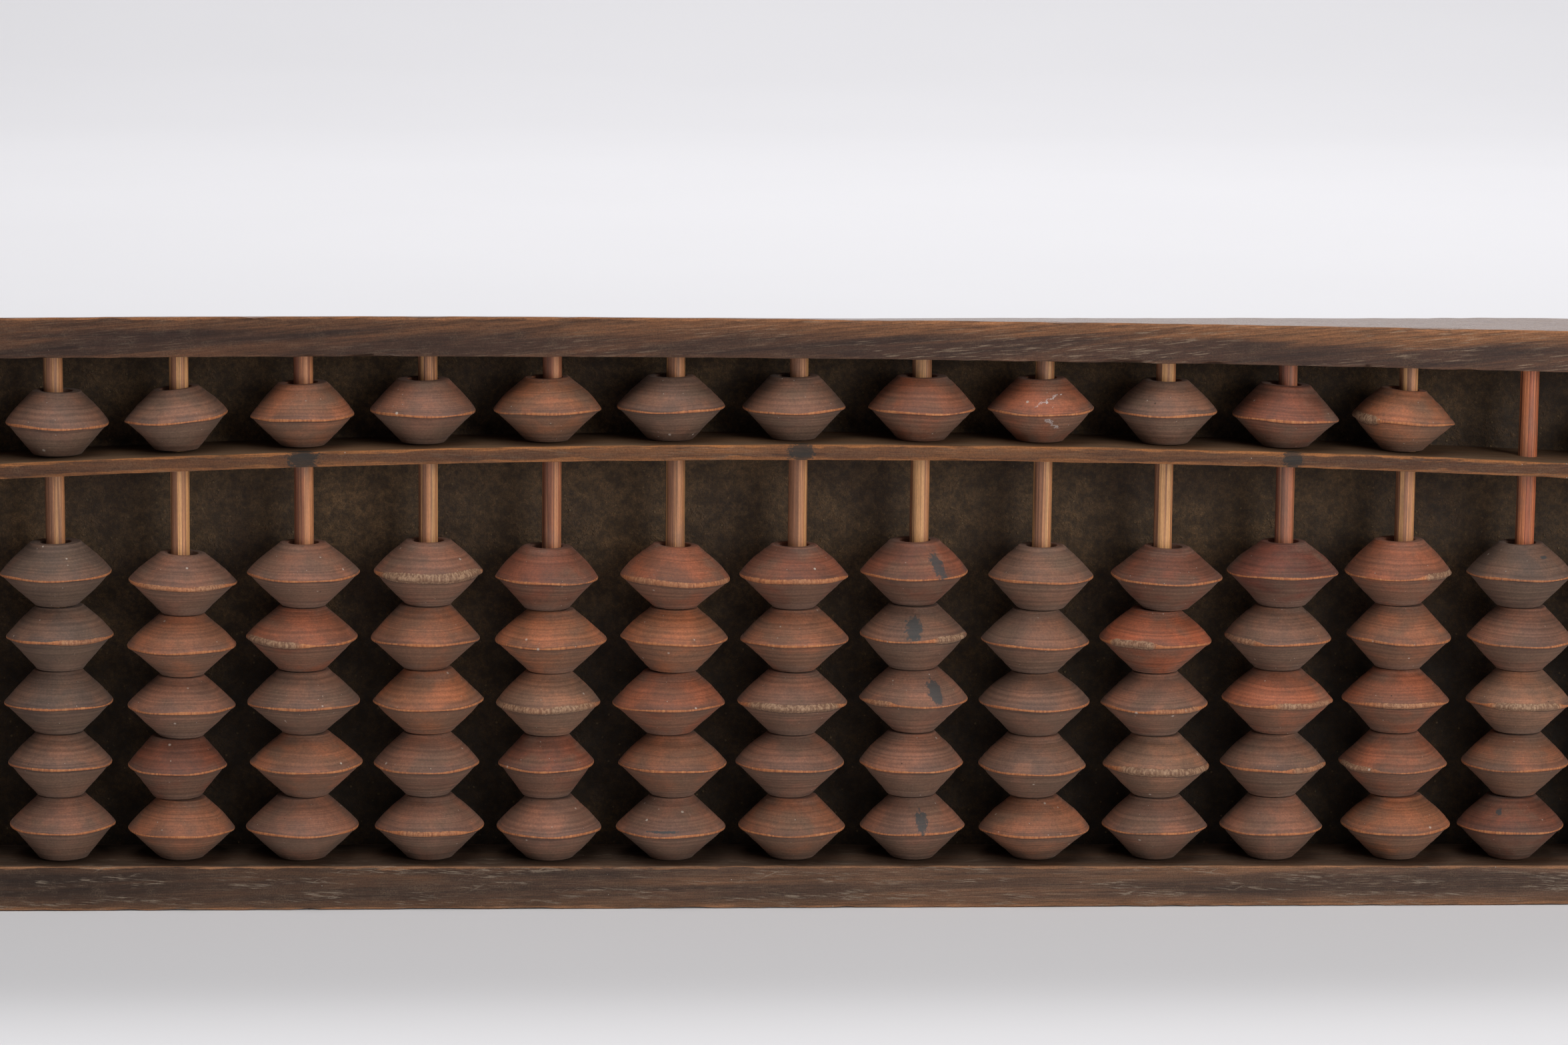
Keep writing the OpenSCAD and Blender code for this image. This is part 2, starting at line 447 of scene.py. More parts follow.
def bead_wood():
    """Turned, stained beads under decades of dust: rings, patches, worn edges, specks and ink."""
    s = Shader("bead_wood", Specular_IOR_Level=0.35, Sheen_Weight=0.05, Sheen_Tint=(0.9, 0.85, 0.8, 1.0))
    local = s.attribute("local")
    across, worn, chance = s.split(s.attribute("turned"))
    from_edge = s.absolute(across)
    under = s.between(across, 0.4, -1.2)

    patches = s.noise(local, (0.12, 0.12, 0.16), 4.0, 0.62)
    dirt = s.noise(local, (0.11, 0.11, 0.2), 4.0, 0.6)
    fine = s.noise(local, 3.1, 3.0, 0.7)
    streaks = s.noise(local, (2.2, 2.2, 0.16), 3.0, 0.6)
    wander = s.times(s.noise(local, 0.1, 1.0), 1.6)
    place = s.plus(s.times(across, 1.5), s.times(chance, 90.0))
    rings = s.line_noise(s.plus(place, wander), 3.0, 0.62)

    base = s.varied(s.attribute("tone"), (patches, 0.3, 0.72, 0.76, 1.22))
    warm = s.vector("MULTIPLY", base, (1.2, 0.92, 0.76))
    warm_at = s.times(s.between(patches, 0.4, 0.62), s.between(across, -1.5, 0.5, 0.25, 0.6))
    base = s.mix(warm_at, base, warm)
    grey_dust = s.between(s.plus(dirt, s.times(under, 0.15)), 0.46, 0.72, 0.0, 0.62)
    base = s.mix(grey_dust, base, (0.156, 0.097, 0.063))
    handled = s.between(from_edge, 2.2, 0.3, 0.0, 0.42)
    base = s.laid_on(base, handled, s.between(patches, 0.7, 0.4), (0.1, 0.056, 0.046))
    rims = s.between(from_edge, 5.8, 8.0, 0.0, 0.35)
    base = s.laid_on(base, rims, s.between(dirt, 0.35, 0.6), (0.2, 0.13, 0.1))
    base = s.varied(base, (rings, 0.32, 0.68, 0.78, 1.13), (streaks, 0.3, 0.7, 0.9, 1.08),
                    (fine, 0.25, 0.75, 0.8, 1.18))
    base, edge_height = rubbed_edge(s, base, local, across, worn, dirt)
    base, speck_height = speckled(s, base, local)
    base = s.mix(ink_spread(s, "stain", local, (1.1, 1.1, 0.7)), base, (0.04, 0.046, 0.047))
    base = s.mix(thread_scratches(s, local), base, (0.5, 0.46, 0.44))

    roughness = s.between(s.plus(fine, s.times(grey_dust, 0.5)), 0.3, 0.9, 0.52, 0.78)
    height = s.total((rings, 0.42), (fine, 0.35), (edge_height, 0.5), (speck_height, 0.5))
    return s.finish(base, roughness, height, 0.22, 0.8)


def rubbed_edge(s, base, local, across, worn, dirt):
    """The band round a bead's edge that is worn to bare wood, over a line of painted shade under the
    ridge; and its height.
    """
    notches = s.noise(local, (2.3, 2.3, 0.3), 2.0, 0.6)
    ragged = s.times(s.minus(notches, 0.5), 0.4)
    reach = s.plus(worn, s.times(ragged, s.plus(worn, 0.25)))
    band = s.between(s.minus(reach, s.absolute(across)), -0.05, 0.08)
    rubbed = s.ramp(notches, (0.28, (0.24, 0.08, 0.034)), (0.5, (0.42, 0.145, 0.052)),
                    (0.7, (0.52, 0.22, 0.085)))
    chipped = s.mix(s.between(notches, 0.35, 0.68), (0.17, 0.085, 0.048), (0.38, 0.235, 0.14))
    bared = s.mix(s.between(worn, 0.5, 1.0), rubbed, chipped)
    base = s.laid_on(base, band, s.between(dirt, 0.72, 0.5, 0.5, 0.95), bared)
    # A thin line of painted shade just under the ridge, where the ridge overhangs the lower cone.
    below = s.plus(across, s.plus(worn, 0.14))
    shade_under_ridge = s.between(s.absolute(below), 0.2, 0.02)
    return s.shade(base, s.minus(1.0, s.times(shade_under_ridge, 0.5))), s.times(band, notches)


def speckled(s, base, local):
    """Pale specks and flecks and dark pits over a bead; and their height."""
    specks = s.specks(local, 1.15, 0.2, 0.16)
    flecks = s.specks(local, 0.42, 0.16, 0.2, (3.0, 17.0, 11.0))
    pits = s.specks(local, 0.6, 0.13, 0.08, (31.0, 7.0, 5.0))
    base = s.laid_on(base, specks, 0.7, (0.44, 0.36, 0.29))
    base = s.laid_on(base, flecks, 0.75, (0.5, 0.42, 0.35))
    return s.laid_on(base, pits, 0.7, (0.03, 0.018, 0.013)), s.minus(specks, pits)


def thread_scratches(s, local):
    """Thin wandering lines, one over the edge and one under it, on the bead that has them."""
    x, z, _ = s.split(s.attribute("scratch"))
    wander = s.minus(s.noise(local, 0.8, 3.0, 0.7), 0.5)
    x = s.math("MULTIPLY_ADD", wander, 5.0, x)
    lines = []
    for slope, at_edge, middle, reach in ((1.6, -5.2, 3.4, 1.4), (-1.0, -1.4, -2.7, 1.3)):
        gap = s.absolute(s.minus(x, s.math("MULTIPLY_ADD", z, slope, at_edge)))
        beyond = s.minus(s.absolute(s.minus(z, middle)), reach)
        lines.append(s.times(s.between(gap, 0.5, 0.15), s.between(beyond, 0.2, 0.0)))
    return s.times(s.math("MAXIMUM", *lines), s.between(wander, -0.3, 0.1, 0.9, 0.45))


def ink_spread(s, place, local, lumps_per_mm):
    """Ink in a spot whose edge is at length 1 of the attribute called place, broken by the grain."""
    x, z, _ = s.split(s.attribute(place))
    distance = s.math("SQRT", s.plus(s.math("POWER", x, 2.0), s.math("POWER", z, 2.0)))
    grain = s.noise(local, lumps_per_mm, 4.0, 0.75)
    ragged = s.plus(distance, s.times(s.minus(grain, 0.5), 3.2))
    return s.between(ragged, 1.4, 0.95, 0.0, 0.85)


def aged_timber(name, dark, middle, warm, worn, top_colour=(0.2, 0.15, 0.11), slope=0.0, pores=0.4,
                dust=0.25, edge_mm=0.9, low_wear=1.0, gloss=0.5, painted_left_shade=1.0, glow=0.0, sole=0.0,
                scuffs=0.0, top_polish=0.0, top_dust_and_sheen=0.0, ink=False):
    """Old stained timber: streaks, pale pores, worn arrises and grey dust.

    The grain runs along X and is turned by slope. edge_mm is how far the arrises are rubbed, and
    low_wear how much of that the lower ones have; glow and sole are the strength of the warm wood
    towards the top and the bottom of the front."""
    s = Shader(name, Specular_IOR_Level=0.28)
    local = s.attribute("local")
    arris, up, along = s.split(s.attribute("wear"))
    grain = s.turned(local, slope)

    figure = s.noise(grain, (0.012, 0.16, 0.3), 3.0, 0.55, 0.6)
    fibres = s.noise(grain, (0.09, 1.5, 2.0), 4.0, 0.7)
    hairs = s.noise(grain, (0.22, 3.0, 4.2), 2.0, 0.6)
    blotches = s.noise(local, (0.035, 0.15, 0.15), 3.0, 0.6)
    fine = s.noise(local, (3.2, 3.6, 3.6), 3.0, 0.7)

    base = s.ramp(figure, (0.32, dark), (0.5, middle), (0.68, warm))
    # The last factor darkens the timber towards its left end: painted shade for light falling from the
    # right.
    base = s.varied(base, (fibres, 0.3, 0.7, 0.78, 1.2), (blotches, 0.3, 0.7, 0.8, 1.16),
                    (along, -0.9, 0.8, painted_left_shade, 1.0))
    high = s.plus(up, s.times(s.minus(figure, 0.5), 1.2))
    glowing = s.times(s.between(high, 0.45, 0.8), s.between(along, -0.5, 0.6, 0.4, 1.0))
    base = s.laid_on(base, glowing, glow, s.varied(worn, (fibres, 0.3, 0.7, 0.4, 1.1)))

    pore = s.times(s.between(hairs, 0.56, 0.68), s.between(blotches, 0.38, 0.6))
    pore = s.times(pore, s.between(along, -0.6, 0.4, 0.25, 1.0))
    base = s.laid_on(base, pore, pores, (0.34, 0.25, 0.17))
    base = s.laid_on(base, s.between(hairs, 0.42, 0.3), 0.45, (0.02, 0.013, 0.01))

    rubbed = s.times(worn_arrises(s, local, arris, edge_mm), s.between(up, 0.2, 0.4, low_wear, 1.0))
    base = s.laid_on(base, rubbed, 0.85, s.varied(worn, (fibres, 0.3, 0.7, 0.55, 1.3)))

    low_edge = s.between(s.plus(up, s.times(figure, 0.3)), 0.42, 0.22)
    low_edge = s.times(low_edge, s.between(along, -0.6, 0.6, 0.25, 1.0))
    base = s.laid_on(base, low_edge, sole, s.varied(worn, (fibres, 0.3, 0.7, 0.5, 1.2)))

    base = s.laid_on(base, scuffed(s, local), scuffs, (0.27, 0.21, 0.155))
    dusty = s.between(s.noise(local, (0.3, 0.5, 0.5), 5.0, 0.7), 0.45, 0.7)
    dusty = s.times(dusty, s.between(fine, 0.4, 0.6, 0.35, 1.3))
    base = s.laid_on(base, dusty, dust, (0.15, 0.105, 0.072))
    specks = s.specks(local, 0.45, 0.1, 0.2)
    base = s.laid_on(base, specks, 0.8, (0.55, 0.5, 0.44))
    base = s.varied(base, (fine, 0.25, 0.75, 0.76, 1.22))
    # Dust settled on upward faces; the pale colour given to the top rail there is also a painted sheen.
    lying = s.attribute("lying", "Fac")
    dust_and_sheen = s.times(lying, s.between(fibres, 0.25, 0.6, 0.35, 1.0))
    base = s.laid_on(base, dust_and_sheen, top_dust_and_sheen, top_colour)
    if ink:
        spread = ink_spread(s, "mark", local, (1.3, 2.0, 2.0))
        base = s.laid_on(base, spread, 0.88, (0.012, 0.02, 0.021))

    roughness = s.between(s.plus(fibres, s.times(dusty, 0.3)), 0.3, 0.9, gloss, gloss + 0.3)
    roughness = s.minus(roughness, s.times(lying, top_polish))
    height = s.total((fibres, 0.6), (hairs, 0.5), (fine, 0.2), (specks, 0.6))
    return s.finish(base, roughness, height, 0.25, 0.8)


def worn_arrises(s, local, arris, edge_mm):
    """Where the arrises are rubbed: a ragged strip about edge_mm wide."""
    rub = s.noise(local, (0.12, 0.6, 0.9), 4.0, 0.65)
    rub = s.minus(s.times(rub, edge_mm * 3.0), s.plus(arris, edge_mm * 0.55))
    return s.between(rub, 0.0, edge_mm * 0.4)


def scuffed(s, local):
    """Patches of short strokes near the grain and of scratches across it."""
    patches = s.between(s.noise(local, (0.07, 0.6, 0.5), 3.0, 0.6), 0.5, 0.64)
    strokes = s.between(s.noise(s.turned(local, -4.0), (0.3, 3.0, 4.5), 2.0, 0.6), 0.5, 0.62)
    scratch = s.between(s.noise(s.turned(local, 24.0), (0.05, 2.0, 2.6), 2.0, 0.5), 0.66, 0.72)
    return s.times(patches, s.math("MAXIMUM", strokes, scratch))


def board_wood():
    """The thin board: caked with dust and crumbs towards the beads, bare old wood at the back."""
    s = Shader("board_wood")
    local = s.attribute("local")
    _, up, along = s.split(s.attribute("wear"))
    caked = s.attribute("caked", "Fac")
    figure = s.noise(local, (0.008, 0.3, 0.07), 3.0, 0.55, 1.2)
    fibres = s.noise(local, (0.07, 2.0, 1.3), 4.0, 0.7)
    clouds = s.noise(local, (0.045, 0.045, 0.06), 4.0, 0.6)
    crumbs = s.noise(local, 1.5, 4.0, 0.75)
    clods = s.noise(local, 0.45, 4.0, 0.7)
    fine = s.noise(local, 4.5, 2.0, 0.7)

    bare = s.ramp(figure, (0.3, (0.085, 0.05, 0.033)), (0.52, (0.135, 0.08, 0.05)),
                  (0.7, (0.2, 0.12, 0.072)))
    bare = s.varied(bare, (fibres, 0.3, 0.7, 0.62, 1.3))
    grime_and_shade = s.ramp(clouds, (0.35, (0.05, 0.029, 0.0155)), (0.52, (0.072, 0.043, 0.0215)),
                   (0.7, (0.11, 0.063, 0.029)))
    # Crumbs, clods and fine grain are real grime; the last two factors are painted shade, darker towards
    # the right end and lower down behind the beads.
    grime_and_shade = s.varied(grime_and_shade, (crumbs, 0.3, 0.72, 0.6, 1.5), (clods, 0.35, 0.66, 0.72, 1.5),
                     (fine, 0.3, 0.7, 0.75, 1.25), (along, -0.2, 0.9, 1.0, 0.8),
                     (up, 0.3, 0.62, 0.5, 1.0))
    base = s.mix(caked, bare, grime_and_shade)

    pale = s.times(s.specks(local, 0.9, 0.3, 0.2), s.between(clods, 0.42, 0.56))
    base = s.laid_on(base, pale, 0.6, (0.21, 0.14, 0.07))
    tiny = s.specks(local, 1.6, 0.22, 0.12, (13.0, 3.0, 41.0))
    base = s.laid_on(base, tiny, s.times(caked, 0.35), (0.19, 0.145, 0.09))

    lumps = s.plus(crumbs, s.times(s.between(clods, 0.52, 0.8), 1.2))
    height = s.total((s.times(lumps, caked), 1.0), (fibres, 0.5), (pale, 0.8))
    return s.finish(base, s.between(crumbs, 0.3, 0.7, 0.72, 0.95), height, 0.26, 0.9)


def bamboo():
    """Split bamboo: long fibres in pale and dark stripes, stained and polished by the beads."""
    s = Shader("bamboo", Specular_IOR_Level=0.5)
    local = s.attribute("local")
    tone = s.attribute("tone")
    stripes = s.noise(local, (0.7, 0.7, 0.004), 1.0, 0.5)
    fibres = s.noise(local, (4.2, 4.2, 0.05), 3.0, 0.65)
    stains = s.noise(local, (0.25, 0.25, 0.07), 3.0, 0.6)
    fine = s.noise(local, (3.5, 3.5, 1.2), 2.0, 0.6)

    # The darker purple-grey on each rod's left side is partly a stain and partly painted shade for light
    # falling from the right.
    plum_and_shade = s.vector("MULTIPLY", tone, (0.46, 0.44, 0.54))
    pale = s.vector("MULTIPLY", tone, (1.24, 1.46, 1.36))
    left = s.plus(s.attribute("side", "Fac"), s.times(stripes, 1.4))
    base = s.mix(s.between(left, 0.62, 0.35, 0.0, 0.85), tone, plum_and_shade)
    base = s.mix(s.between(stripes, 0.49, 0.57, 0.0, 0.8), base, pale)
    seams = s.between(s.absolute(s.minus(stripes, 0.5)), 0.03, 0.008, 0.0, 0.55)
    base = s.mix(seams, base, (0.13, 0.055, 0.03))
    base = s.varied(base, (fibres, 0.3, 0.7, 0.66, 1.22))
    base = s.mix(s.between(stains, 0.55, 0.72, 0.0, 0.45), base, (0.2, 0.12, 0.085))
    base = s.varied(base, (fine, 0.3, 0.7, 0.93, 1.07))
    base = s.laid_on(base, s.between(fibres, 0.33, 0.24), 0.6, (0.06, 0.035, 0.025))

    roughness = s.between(fibres, 0.3, 0.7, 0.5, 0.38)
    return s.finish(base, roughness, s.total((fibres, 1.0), (fine, 0.3)), 0.12, 0.8)


def peg_wood():
    """Bamboo pegs seen on their ends: a spot of fine dark pores in pale wood."""
    s = Shader("peg_wood")
    local = s.attribute("local")
    fibres = s.noise(local, (3.0, 0.2, 3.0), 3.0, 0.6)
    base = s.ramp(fibres, (0.3, (0.12, 0.075, 0.045)), (0.7, (0.27, 0.18, 0.105)))
    base = s.laid_on(base, s.specks(local, 4.0, 0.5, 0.7), 0.6, (0.05, 0.03, 0.02))
    return s.finish(base, s.between(fibres, 0.3, 0.7, 0.55, 0.75), fibres, 0.1)


def nail_iron():
    """Small iron nails, brown with rust."""
    s = Shader("nail_iron", Metallic=0.55)
    rust = s.noise(s.attribute("local"), 1.6, 4.0, 0.7)
    base = s.ramp(rust, (0.35, (0.1, 0.085, 0.08)), (0.5, (0.09, 0.045, 0.025)),
                  (0.68, (0.16, 0.07, 0.03)))
    return s.finish(base, s.between(rust, 0.35, 0.65, 0.5, 0.85), rust, 0.15)


def paper():
    """The pale sheet under the frame, with a very slight tooth; its noise is in lumps per metre."""
    s = Shader("paper")
    place = s.tree.nodes.new("ShaderNodeTexCoord").outputs["Object"]
    tooth = s.noise(place, 900.0, 2.0, 0.6)
    base = s.mix(s.noise(place, 5.0, 2.0, 0.5), (0.735, 0.73, 0.745), (0.755, 0.75, 0.765))
    return s.finish(base, s.between(tooth, 0.3, 0.7, 0.8, 0.9), tooth, 0.05, 0.3)


# ---------------------------------------------------------------- beads

BEAD_SIDES = 80
CONE_STEPS = 20


def cone_line(start, end, bulge, steps):
    """Points from start to end in the (r, z) plane, swollen away from the axis."""
    t = np.linspace(0, 1, steps)[:, None]
    start, end = np.array(start), np.array(end)
    line = start + (end - start) * t
    along = (end - start) / np.linalg.norm(end - start)
    falling = end[1] < start[1] and end[0] > start[0]
    outward = np.array([abs(along[1]), abs(along[0]) * (1 if falling else -1)])
    return line + outward * bulge * np.sin(np.pi * t ** 1.3)


def bead_profile(width, height, flats, ridge_z, band, bulge):
    """Section of a bead as closed (r, z) points: out over the top, down the outside and back."""
    edge = width / 2
    top_flat, low_flat = flats
    top_middle, low_middle = (flat * 0.55 + BORE_RADIUS * 0.45 for flat in flats)
    high, low = ridge_z + band / 2, ridge_z - band / 2
    over_top = [(BORE_RADIUS, height - 1.2), (BORE_RADIUS + 0.01, height - 0.2),
                (BORE_RADIUS + 0.1, height - 0.03), (top_middle, height),
                (top_flat - 0.2, height), (top_flat - 0.03, height - 0.05)]
    upper = cone_line((top_flat + 0.06, height - 0.15), (edge - 0.14, high), bulge[0], CONE_STEPS)
    ridge = [(edge - 0.03, ridge_z + band * 0.22), (edge, ridge_z),
             (edge - 0.04, ridge_z - band * 0.3), (edge - 0.2, low), (edge - 0.48, low - 0.14)]
    lower = cone_line((low_flat + 0.06, 0.2), (edge - 0.75, low - 0.34), bulge[1], CONE_STEPS)[::-1]
    under = [(low_flat - 0.06, 0.06), (low_flat - 0.25, 0.0), (low_middle, 0.0),
             (BORE_RADIUS + 0.22, 0.06), (BORE_RADIUS + 0.03, 0.35), (BORE_RADIUS, 1.2),
             (BORE_RADIUS, height * 0.5)]
    return np.concatenate([over_top, upper, ridge, lower, under]), len(over_top) + CONE_STEPS + 1


def distance_across(profile, ridge_index):
    """Length along the section from the ridge: above 0 over the ridge, below 0 under it."""
    steps = np.linalg.norm(np.diff(profile, axis=0), axis=1)
    along = np.concatenate([[0], np.cumsum(steps)])
    return along[ridge_index] - along


def battered_reach(key, angle, phase):
    """Half height of the worn band round the edge, wider where the bead is battered (mm)."""
    middle, spread, reach = BATTERED.get(key, (0, 1, 0.0))
    turn = np.abs((np.degrees(angle) - middle + 180) % 360 - 180)
    plain = 0.23 + 0.06 * np.sin(3 * angle + phase) + 0.04 * np.sin(7 * angle + 2 * phase)
    return plain + reach * smoothstep(turn, spread, spread * 0.5)


def bead(rod, index, height, draw):
    """One bead about its own axis with its lower flat at z = 0: points, faces and attributes."""
    tones, _, widths = ROD_LOOKS[rod - 1]
    key = (rod, index)
    tilt = math.tan(math.radians(TILTS.get(key, draw.uniform(-1.0, 1.0))))
    flats = (4.55 + draw.uniform(-0.25, 0.45), 4.5 + draw.uniform(-0.3, 0.35))
    height = height - 0.04 - abs(tilt) * flats[0]
    ridge_z = height * (0.5 + draw.uniform(-0.025, 0.03))
    bulge = (draw.uniform(0.02, 0.34), draw.uniform(-0.05, 0.14))
    band = draw.uniform(0.5, 0.8)
    profile, ridge_index = bead_profile(widths[index], height, flats, ridge_z, band, bulge)
    phase = draw.uniform(0, 6.28)
    seed = int(draw.integers(1, 10000))

    angle = angles_round(BEAD_SIDES, len(profile))
    r, z = np.repeat(profile, BEAD_SIDES, axis=0).T
    across = np.repeat(distance_across(profile, ridge_index), BEAD_SIDES)
    worn = battered_reach(key, angle, phase)
    constant = np.full_like(across, phase)
    round_points = np.stack([r * np.sin(angle), -r * np.cos(angle), z], axis=1)

    rings = np.stack([across, constant * 7, constant * 0], axis=1)
    swell = draw.uniform(0.02, 0.075) * smooth_noise(rings, 0.62, seed) * (np.abs(across) > 0.6)
    swell += bead_wear(round_points, across, worn, seed)
    swell *= smoothstep(r, BORE_RADIUS + 0.3, BORE_RADIUS + 1.2)

    points = round_points.copy()
    points[:, 0] += np.sin(angle) * swell
    points[:, 1] -= np.cos(angle) * swell
    wave = 0.13 * np.sin(2 * angle + phase) + 0.07 * np.sin(5 * angle + 3 * phase)
    points[:, 2] += wave * np.exp(-(across / 2.5) ** 2)
    lifted = smoothstep(points[:, 2] / height, -0.1, 0.75)
    points[:, 2] += tilt * points[:, 0] * lifted + abs(tilt) * flats[1] * 0.1

    attributes = bead_marks(key, r, angle, across)
    attributes["local"] = round_points + draw.uniform(-400, 400, 3)
    attributes["turned"] = np.stack([across, worn, constant], axis=1)
    tone = np.array(BEAD_TONES[tones[index]]) * BEAD_ALBEDO * draw.uniform(0.92, 1.08)
    attributes["tone"] = np.repeat([tone], len(points), axis=0)
    return points, grid_quads(len(profile), BEAD_SIDES, close_rows=True), attributes


def bead_wear(points, across, worn, seed):
    """How far the lumps of a bead stand out of its round shape and the chips on its edge go in."""
    lumps = 0.07 * smooth_noise(points, 3.0, seed) + 0.1 * smooth_noise(points, 8.0, seed + 1)
    hurt = smoothstep(worn - np.abs(across), -0.1, 0.25) * (worn - 0.2)
    chips = smooth_noise(points, np.array([0.9, 0.9, 2.2]), seed + 2)
    return lumps - 0.36 * hurt * np.clip(chips + 0.25, 0, 1)


def bead_marks(key, r, angle, across):
    """Each point's place from the middle of the bead's ink spot, and from that of its scratches."""
    middle, above_edge, half_width, half_height = INKED.get(key, NO_INK)
    turn = (angle - math.radians(middle) + math.pi) % (2 * math.pi) - math.pi
    place = np.stack([turn * r, across, r * 0], axis=1)
    return {
        "scratch": place if key == SCRATCHED else np.full_like(place, FAR_AWAY),
        "stain": (place - (0, above_edge, 0)) / (half_width, half_height, 1),
    }


def bead_piece(node, rod, indices, material, draw):
    """The beads of one CAD node, lowest last in indices, each at its own lean."""
    low, high = node_box(node)
    x, y = rod_axis(rod)
    leans = np.clip(ROD_LOOKS[rod - 1][1], -MOST_LEAN, MOST_LEAN)
    pitch = (high[2] - low[2] + BEAD_SLACK) / len(indices)
    parts = []
    for k, index in enumerate(reversed(indices)):
        points, faces, attributes = bead(rod, index, pitch - BEAD_SLACK, draw)
        place = (x + leans[index], y + draw.uniform(-0.12, 0.15), low[2] + 0.02 + k * pitch)
        parts.append((points + place, faces, attributes))
    return make_piece(f"worn_{node}", *joined(parts), material, node, [node], "bead_wood")


def all_beads():
    material = bead_wood()
    for rod in range(1, ROD_COUNT + 1):
        draw = np.random.default_rng(100 + rod)
        if rod != LOST_BEAD_ROD:
            bead_piece(f"heaven_bead_{rod:02d}", rod, [0], material, draw)
        bead_piece(f"top_earth_bead_{rod:02d}", rod, [1], material, draw)
        bead_piece(f"lower_earth_beads_{rod:02d}", rod, [2, 3, 4, 5], material, draw)


# ---------------------------------------------------------------- bars of timber

ARRIS_STEPS = 4


def rounded_outline(corners, step_counts):
    """Points round a section, and their distance to the nearest true arris.

    corners are (a, b, radius, is_arris); step_counts says how many points each straight side has."""
    points, n = [], len(corners)
    for k, (a, b, radius, _) in enumerate(corners):
        here = np.array([a, b])
        before = np.array(corners[k - 1][:2])
        after = np.array(corners[(k + 1) % n][:2])
        start = here + (before - here) / np.linalg.norm(before - here) * radius
        end = here + (after - here) / np.linalg.norm(after - here) * radius
        for t in np.linspace(0, 1, ARRIS_STEPS):
            points.append((1 - t) ** 2 * start + 2 * t * (1 - t) * here + t ** 2 * end)
        next_radius = corners[(k + 1) % n][2]
        stop = after + (here - after) / np.linalg.norm(here - after) * next_radius
        for t in np.linspace(0, 1, step_counts[k] + 2)[1:-1]:
            points.append(end + (stop - end) * t)
    points = np.array(points)
    arrises = np.array([c[:2] for c in corners if c[3]])
    gaps = np.linalg.norm(points[:, None, :] - arrises[None, :, :], axis=2).min(axis=1)
    return points, gaps


def stations(low, high, step, *breaks):
    """Places along a bar: rounded ends, even steps between them and a pair at each break."""
    ends = np.array([0.0, 0.08, 0.25, 0.5])
    middle = np.arange(low + 1.0, high - 0.99, step)
    pairs = [b + d for b in breaks for d in (-0.02, 0.02)]
    return np.unique(np.round(np.concatenate([low + ends, high - ends, middle, pairs]), 4))


def bar(places, section, step_counts, axis):
    """A bar through the places along axis, closed at both ends: points, faces and arris distances."""
    low, high = places[0], places[-1]
    rings, gaps, along = [], [], []
    for place in places:
        outline, gap = rounded_outline(section(place), step_counts)
        end_gap = min(place - low, high - place)
        half = (outline.max(axis=0) - outline.min(axis=0)) / 2
        inset = 0.3 * (1 - smoothstep(end_gap, 0.0, 0.5))
        rings.append(shrunk(outline, 1 - inset / half))
        gaps.append(np.minimum(gap, end_gap + 0.2))
        along.append(place)
    for share in (0.9, 0.65, 0.4, 0.18):
        rings = [shrunk(rings[0], share), *rings, shrunk(rings[-1], share)]
        gaps = [gaps[0] + 1.0, *gaps, gaps[-1] + 1.0]
        along = [low, *along, high]
    points = [np.insert(ring, axis, place, axis=1) for ring, place in zip(rings, along)]
    return np.concatenate(points), capped_quads(len(rings), len(rings[0])), np.concatenate(gaps)


def shrunk(ring, share):
    centre = (ring.min(axis=0) + ring.max(axis=0)) / 2
    return centre + (ring - centre) * share


def vertex_normals(mesh):
    normals = np.empty(len(mesh.vertices) * 3, dtype=np.float32)
    mesh.vertex_normals.foreach_get("vector", normals)
    return normals.reshape(-1, 3)


def weathered(piece, gaps, seed, chip, softening, waviness=0.1):
    """Wears a bar's mesh: wavy faces and arrises knocked back in places, all of it inwards."""
    mesh = piece.data
    normals = vertex_normals(mesh)
    points = np.empty(len(mesh.vertices) * 3)
    mesh.vertices.foreach_get("co", points)
    points = points.reshape(-1, 3) * MM
    waves = smooth_noise(points, np.array([14.0, 5.0, 5.0]), seed)
    ripples = smooth_noise(points, np.array([3.5, 1.4, 1.4]), seed + 1)
    knocks = smooth_noise(points, np.array([5.0, 2.5, 2.5]), seed + 2)
    deep = np.clip(knocks - 0.1, 0, 1) ** 1.5
    near = np.exp(-(gaps / 0.8) ** 2)
    depth = waviness * (1 + waves) * 0.5 + 0.25 * waviness * (1 + ripples) * 0.5
    depth += near * (chip * deep + softening * (1 + ripples))
    points -= normals * depth[:, None]
    mesh.vertices.foreach_set("co", (points / MM).reshape(-1))
    mesh.update()


def heights(edge, points):
    """The height of an edge at each point: edge is a number, or a function of x."""
    return np.array([edge(x) if callable(edge) else edge for x in points[:, 0]])


def timber_piece(node, shape, seed, material, slot, span, marks=None, caked=None, chip=0.4,
                 softening=0.09):
    """A worn bar of timber that replaces a CAD node; span is its lower and upper edge."""
    points, faces, gaps = shape
    low, high = (heights(edge, points) for edge in span)
    up = np.clip((points[:, 2] - low) / (high - low), 0, 1)
    attributes = {
        "local": points + np.array([seed * 31.0, seed * 17.0, seed * 7.0]),
        "wear": np.stack([gaps, up, points[:, 0] / HALF_LENGTH], axis=1),
    }
    if marks:
        attributes["mark"] = marks(points, up)
    if caked:
        attributes["caked"] = caked(points)
    piece = make_piece(f"worn_{node}", points, faces, attributes, material, "root", [node], slot,
                       sharp_angle=38)
    add_attribute(piece.data, "lying", smoothstep(vertex_normals(piece.data)[:, 2], 0.7, 0.95))
    weathered(piece, gaps, seed, chip, softening)


